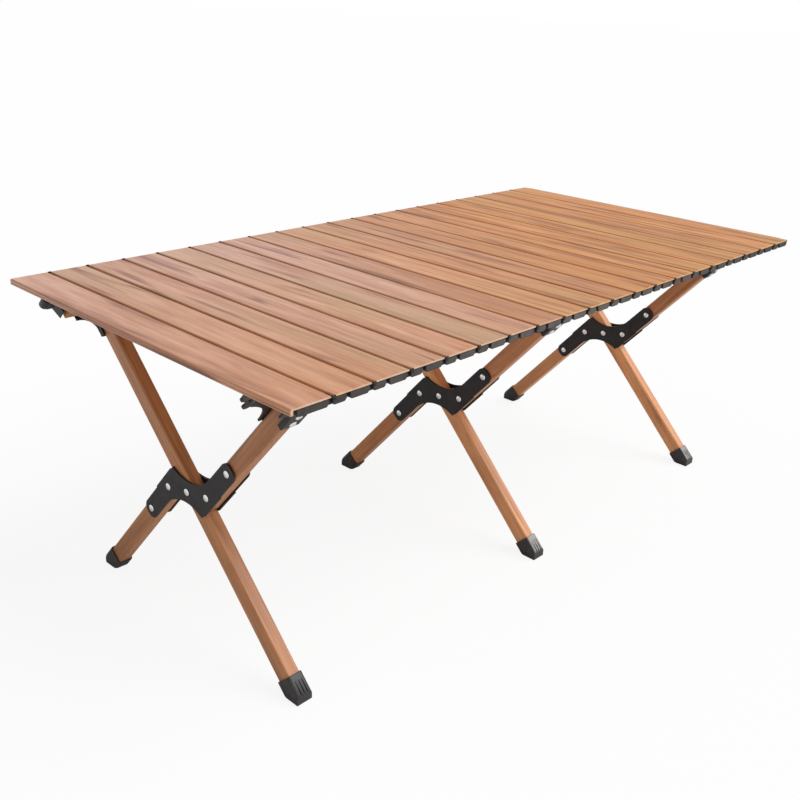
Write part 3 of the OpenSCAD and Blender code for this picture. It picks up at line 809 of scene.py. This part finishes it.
# %% [markdown]
# The mouth of the boot is inset to leave a rim, and drawn down into a socket for
# the leg. The leg's end is cut level with the floor and blunt at the toe, so the
# socket's floor has a crease and follows both cuts. The rim is rounded while it is
# still flat and easy to find.

# %% Socket of a foot
SOCKET_RIM, SOLE_T, TOE_ROOM, RIM_ROUND = 2.3 * MM, 3.9 * MM, 4.6 * MM, 0.7 * MM


def open_socket(bm, lean, upper):
    bm.normal_update()
    mouth = [f for f in bm.faces
             if f.normal.y > FACING and f.calc_center_median().y > FOOT_LEN - HAIR]
    bmesh.ops.inset_region(bm, faces=mouth, thickness=SOCKET_RIM, depth=0, use_even_offset=True)
    rise, run = math.sin(lean), abs(math.cos(lean))
    crease = upper * (run * SOLE_T + rise * TOE_ROOM)
    opening = list(dict.fromkeys(part for f in mouth for part in (f, *f.edges, *f.verts)))
    halves = bmesh.ops.bisect_plane(bm, geom=opening, plane_co=(0, 0, crease),
                                    plane_no=(0, 0, 1))["geom"]
    mouth = [f for f in halves if isinstance(f, bmesh.types.BMFace)]
    pushed = bmesh.ops.extrude_face_region(bm, geom=mouth)["geom"]
    bmesh.ops.delete(bm, geom=mouth, context="FACES_ONLY")
    for vert in verts_of(pushed):
        high = upper * vert.co.z
        vert.co.y = max((SOLE_T - high * run) / rise, (high * rise - TOE_ROOM) / run)
    rim = {v for v in bm.verts if v.co.y > FOOT_LEN - HAIR}
    round_edges(bm, RIM_ROUND, steps=3, least_turn=60, among=rim)


# %% [markdown]
# The box is then turned to the slant of its leg and set on the floor. Planes cut
# the sole, the toe and the toe's upper edge, and each cut is closed with a new
# face. The sole and the grooves are rounded in turn, each as far as its size
# allows.

# %% Foot on its leg
PIVOT_Z = 223 * MM
TOE_REACH, TOE_CUT, SOLE_ROUND, GROOVE_ROUND = 7 * MM, 1.2 * MM, 1.2 * MM, 0.3 * MM
CUT_WITHIN, SHORTEST_EDGE = 1e-7, 0.05 * MM


def on_leg(x, lean, shift):
    return (Matrix.Translation((x, 0, PIVOT_Z)) @ Matrix.Rotation(lean, 4, "X")
            @ Matrix.Translation((0, 0, shift)))


def cut_away(bm, point, outward):
    cut = bmesh.ops.bisect_plane(bm, geom=whole(bm), dist=CUT_WITHIN, plane_co=point,
                                 plane_no=outward, clear_outer=True)["geom_cut"]
    rim = [e for e in cut if isinstance(e, bmesh.types.BMEdge)]
    bmesh.ops.contextual_create(bm, geom=rim)


def stand_foot(bm, rest, floor_q, upper):
    on_floor = rest @ Matrix.Translation((0, floor_q, 0))
    bmesh.ops.transform(bm, matrix=on_floor, verts=bm.verts)
    forward = Vector((0, -upper, 0))
    toe_y = (rest @ Vector((0, floor_q, 0))).y - upper * TOE_REACH
    cut_away(bm, (0, 0, 0), (0, 0, -1))
    cut_away(bm, (0, toe_y, 0), forward)
    toe = [v.co for v in bm.verts if abs(v.co.y - toe_y) < HAIR]
    toe_edge = max(toe, key=lambda spot: spot.z).copy()
    slant = (rest.to_3x3() @ Vector((0, 0, upper)) + forward).normalized()
    cut_away(bm, toe_edge - slant * TOE_CUT, slant)
    bmesh.ops.recalc_face_normals(bm, faces=bm.faces)
    bmesh.ops.dissolve_degenerate(bm, dist=SHORTEST_EDGE, edges=bm.edges)
    sole = {v for v in bm.verts if v.co.z < HAIR}
    round_edges(bm, SOLE_ROUND, steps=3, least_turn=35, among=sole)
    round_edges(bm, GROOVE_ROUND, least_turn=35)


# %% [markdown]
# The upper face of a foot is painted grey as a painted sheen, which fades out within a millimetre
# or so below it. The sheen is strongest on the middle and right front feet, and faint on the left
# front foot and on the back feet. Every foot is made for its own leg, so that it fits the slant.

# %% Feet
FRAME_STEP, LEG_SHIFT = 513 * MM, 27.3 * MM
FRAME_X = dict(zip(SIDES, (-FRAME_STEP, 0, FRAME_STEP)))
# how strong the painted sheen is on the upper face of each foot
FRONT_FOOT_SHEEN = {"left": 0.05, "mid": 0.95, "right": 0.95}
BACK_FOOT_SHEEN, SHEEN_DEPTH = 0.2, 1.4  # the depth in millimetres


def boot(x, lean, shift, most_sheen):
    upper = 1 if lean < QUARTER else -1
    bm = foot_blank(upper)
    open_socket(bm, lean, upper)
    rest = on_leg(x, lean, shift)
    floor_q = -(PIVOT_Z + shift * math.cos(lean)) / math.sin(lean)
    stand_foot(bm, rest, floor_q, upper)
    painted_light = bm.verts.layers.float.new("painted_light")
    to_leg = rest.inverted()
    # the painted sheen is full on the upper face and fades out below it
    for vert in bm.verts:
        below = FOOT_HALF_W - upper * (to_leg @ vert.co).z
        vert[painted_light] = most_sheen * min(1.0, max(0.0, SHEEN_DEPTH - below / MM))
    return bm


for side in SIDES:
    front = boot(FRAME_X[side], LONG_LEAN, 0, FRONT_FOOT_SHEEN[side])
    keep(front, f"front_boot_{side}", (foot_nylon,), f"{side}_long", "black_plastic",
         f"front_foot_{side}")
    back = boot(FRAME_X[side], SHORT_LEAN, -LEG_SHIFT, BACK_FOOT_SHEEN)
    keep(back, f"back_boot_{side}", (foot_nylon,), f"{side}_short", "black_plastic",
         f"back_foot_{side}")
print("feet:", 2 * len(SIDES))

# %% [markdown]
# The cross brackets are pressed steel plates, one on each side of the legs. They
# hold the two halves of the short leg in line and carry the pivot of the long one.
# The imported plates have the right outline, so they are copied and their edges
# rounded, as a press and a thick coat of paint leave them.

# %% Cross brackets
PLATE_ROUND = 0.9 * MM

for side in SIDES:
    node = f"cross_bracket_{side}"
    plates = eased_copy(node, PLATE_ROUND, steps=3)
    keep(plates, f"{node}_plates", (bracket_black,), f"{side}_short", "black_metal", node)
print("cross brackets:", len(SIDES))

# %% [markdown]
# A rivet is a shank with a head hammered into a low dome at either end. It is a
# turned shape, so half of its outline is drawn as a chain of edges and spun a full
# turn about its axis. The chain's two ends meet the axis, where the copies of one
# point are merged into a pole.

# %% A turned rivet
HEAD_RIM, ARC_STEPS, SPIN_STEPS, POLE_WITHIN = 0.25, 5, 28, 0.001 * MM


def turned_rivet(radius, grip, head_r, head_t):
    arc = [math.pi / 2 * i / ARC_STEPS for i in range(ARC_STEPS + 1)]
    dome = [(head_r * math.cos(a), grip / 2 + head_t * (HEAD_RIM + (1 - HEAD_RIM) * math.sin(a)))
            for a in arc]
    upper = [(radius, grip / 2), (head_r, grip / 2)] + dome
    outline = [(r, -z) for r, z in reversed(upper)] + upper
    bm = bmesh.new()
    chain = [bm.verts.new((r, 0, z)) for r, z in outline]
    edges = [bm.edges.new(pair) for pair in zip(chain, chain[1:])]
    bmesh.ops.spin(bm, geom=chain + edges, axis=(0, 0, 1), cent=(0, 0, 0), angle=2 * math.pi,
                   steps=SPIN_STEPS, use_merge=True)
    bmesh.ops.remove_doubles(bm, verts=bm.verts, dist=POLE_WITHIN)
    bmesh.ops.recalc_face_normals(bm, faces=bm.faces)
    for face in bm.faces:
        face.smooth = True
    data = bpy.data.meshes.new("turned_rivet")
    bm.to_mesh(data)
    bm.free()
    return data


def add_rivet(bm, data, place):
    before = len(bm.verts)
    bm.from_mesh(data)
    bm.verts.ensure_lookup_table()
    bmesh.ops.transform(bm, matrix=place, verts=bm.verts[before:])


# %% Rivets of the cross brackets
PLATE_GAP, PLATE_T, HEAD_GAP = 0.3 * MM, 3 * MM, 0.05 * MM
PLATE_GRIP = 2 * (LEG_T / 2 + PLATE_GAP + PLATE_T + HEAD_GAP)
PIVOT_R, ARM_R, HEAD_R, HEAD_T = 4 * MM, 3 * MM, 5.2 * MM, 2 * MM
NEAR_RIVET, FAR_RIVET = 35.7 * MM, 106.6 * MM

pivot_rivet = turned_rivet(PIVOT_R, PLATE_GRIP, HEAD_R, HEAD_T)
arm_rivet = turned_rivet(ARM_R, PLATE_GRIP, HEAD_R, HEAD_T)
rivet_spots = [(pivot_rivet, 0, 0)] + [(arm_rivet, way * along, way * LEG_SHIFT)
                                       for way in (-1, 1) for along in (NEAR_RIVET, FAR_RIVET)]
along_x = Matrix.Rotation(QUARTER, 4, "Y")
for side in SIDES:
    rivets = bmesh.new()
    rest = on_leg(FRAME_X[side], SHORT_LEAN, 0)
    for data, along, across in rivet_spots:
        add_rivet(rivets, data, rest @ Matrix.Translation((0, along, across)) @ along_x)
    keep(rivets, f"cross_rivets_{side}_domes", (bare_steel,), f"{side}_short", "steel",
         f"cross_rivets_{side}")
print("cross rivets:", len(rivet_spots) * len(SIDES))

# %% [markdown]
# At the top, each leg ends between two cheek plates, which also hold the pins of
# the folding rails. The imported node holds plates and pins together, so it is
# copied twice: once for the wide plates, which are painted, and once for the slim
# rivets and pins, which are bare.

# %% Top brackets
WIDE, CHEEK_ROUND, PIN_ROUND = 45 * MM, 0.7 * MM, 0.5 * MM


def is_wide(low, high):
    return high.x - low.x > WIDE


def is_slim(low, high):
    return not is_wide(low, high)


for side in SIDES:
    for run, body in (("back", "long"), ("front", "short")):
        node = f"{run}_top_bracket_{side}"
        cheeks = eased_copy(node, CHEEK_ROUND, is_wide)
        keep(cheeks, f"{node}_cheeks", (bracket_black,), f"{side}_{body}", "black_metal", node)
        pins = eased_copy(node, PIN_ROUND, is_slim)
        keep(pins, f"{node}_pins", (bare_steel,), f"{side}_{body}", "steel")
print("top brackets:", 2 * len(SIDES))

# %% [markdown]
# Two rails run under the top, one at the back and one at the front, and space the
# leg pairs. Each is hinged in the middle of every span, so it folds when the legs
# are drawn together. The bars are copied and eased like the legs, with the grain
# along the table. The pin of each hinge is a turned rivet with a wide flat head.
# It is a shade slimmer than its bore, because two round meshes are never quite
# round.

# %% Rails
RAIL_Z, RAIL_EASE, RAIL_WARMTH = 437 * MM, 0.8 * MM, (0.4, 0.9)
KNUCKLE_R, KNUCKLE_GRIP, KNUCKLE_HEAD_R, KNUCKLE_HEAD_T = 3.85 * MM, 25.1 * MM, 6 * MM, 1 * MM
knuckle_pin = turned_rivet(KNUCKLE_R, KNUCKLE_GRIP, KNUCKLE_HEAD_R, KNUCKLE_HEAD_T)


def knuckle_place(x, lean, shift):
    along = (RAIL_Z - PIVOT_Z - shift * math.cos(lean)) / math.sin(lean)
    return on_leg(x, lean, shift) @ Matrix.Translation((0, along, 0))


for run, lean, shift in (("back", LONG_LEAN, 0), ("front", SHORT_LEAN, LEG_SHIFT)):
    for side in ("left", "right"):
        for half in ("inner", "outer"):
            node, body = f"{run}_rail_{side}_{half}", f"{run}_{side}_{half}"
            bar = eased_copy(node, RAIL_EASE, is_wide)
            keep(bar, f"{node}_bar", (rail_wood,), body, "rail_wood", node,
                 rng.uniform(*RAIL_WARMTH))
        pin = bmesh.new()
        add_rivet(pin, knuckle_pin, knuckle_place(FRAME_X[side] / 2, lean, shift))
        keep(pin, f"{run}_{side}_knuckle", (bare_steel,), f"{run}_{side}_inner", "steel")
print("rail halves:", 8, "knuckle pins:", 4)

# %% [markdown]
# Beyond the outer legs each rail goes on as a short fixed end. At the back it is a
# wooden stub with a lobed black cap, and at the front a thin black one that lies
# behind the wing of the bracket. Stub and cap are told apart by how far out they
# reach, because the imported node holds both.

# %% Fixed rail ends
STUB_END, STUB_SLACK = FRAME_STEP + 58 * MM, 0.02 * MM
STUB_EASE, KNOB_EASE = 0.7 * MM, 0.9 * MM


def is_stub(low, high):
    return max(abs(low.x), abs(high.x)) < STUB_END + STUB_SLACK


def is_knob(low, high):
    return not is_stub(low, high)


for run, body, finish, slot in (("back", "long", rail_wood, "rail_wood"),
                                ("front", "short", bracket_black, "black_plastic")):
    for side in ("left", "right"):
        node = f"{run}_rail_end_{side}"
        stub = eased_copy(node, STUB_EASE, is_stub)
        keep(stub, f"{node}_stub", (finish,), f"{side}_{body}", slot, node)
        knob = eased_copy(node, KNOB_EASE, is_knob)
        keep(knob, f"{node}_knob", (foot_nylon,), f"{side}_{body}", "black_plastic")
print("rail ends:", 4)
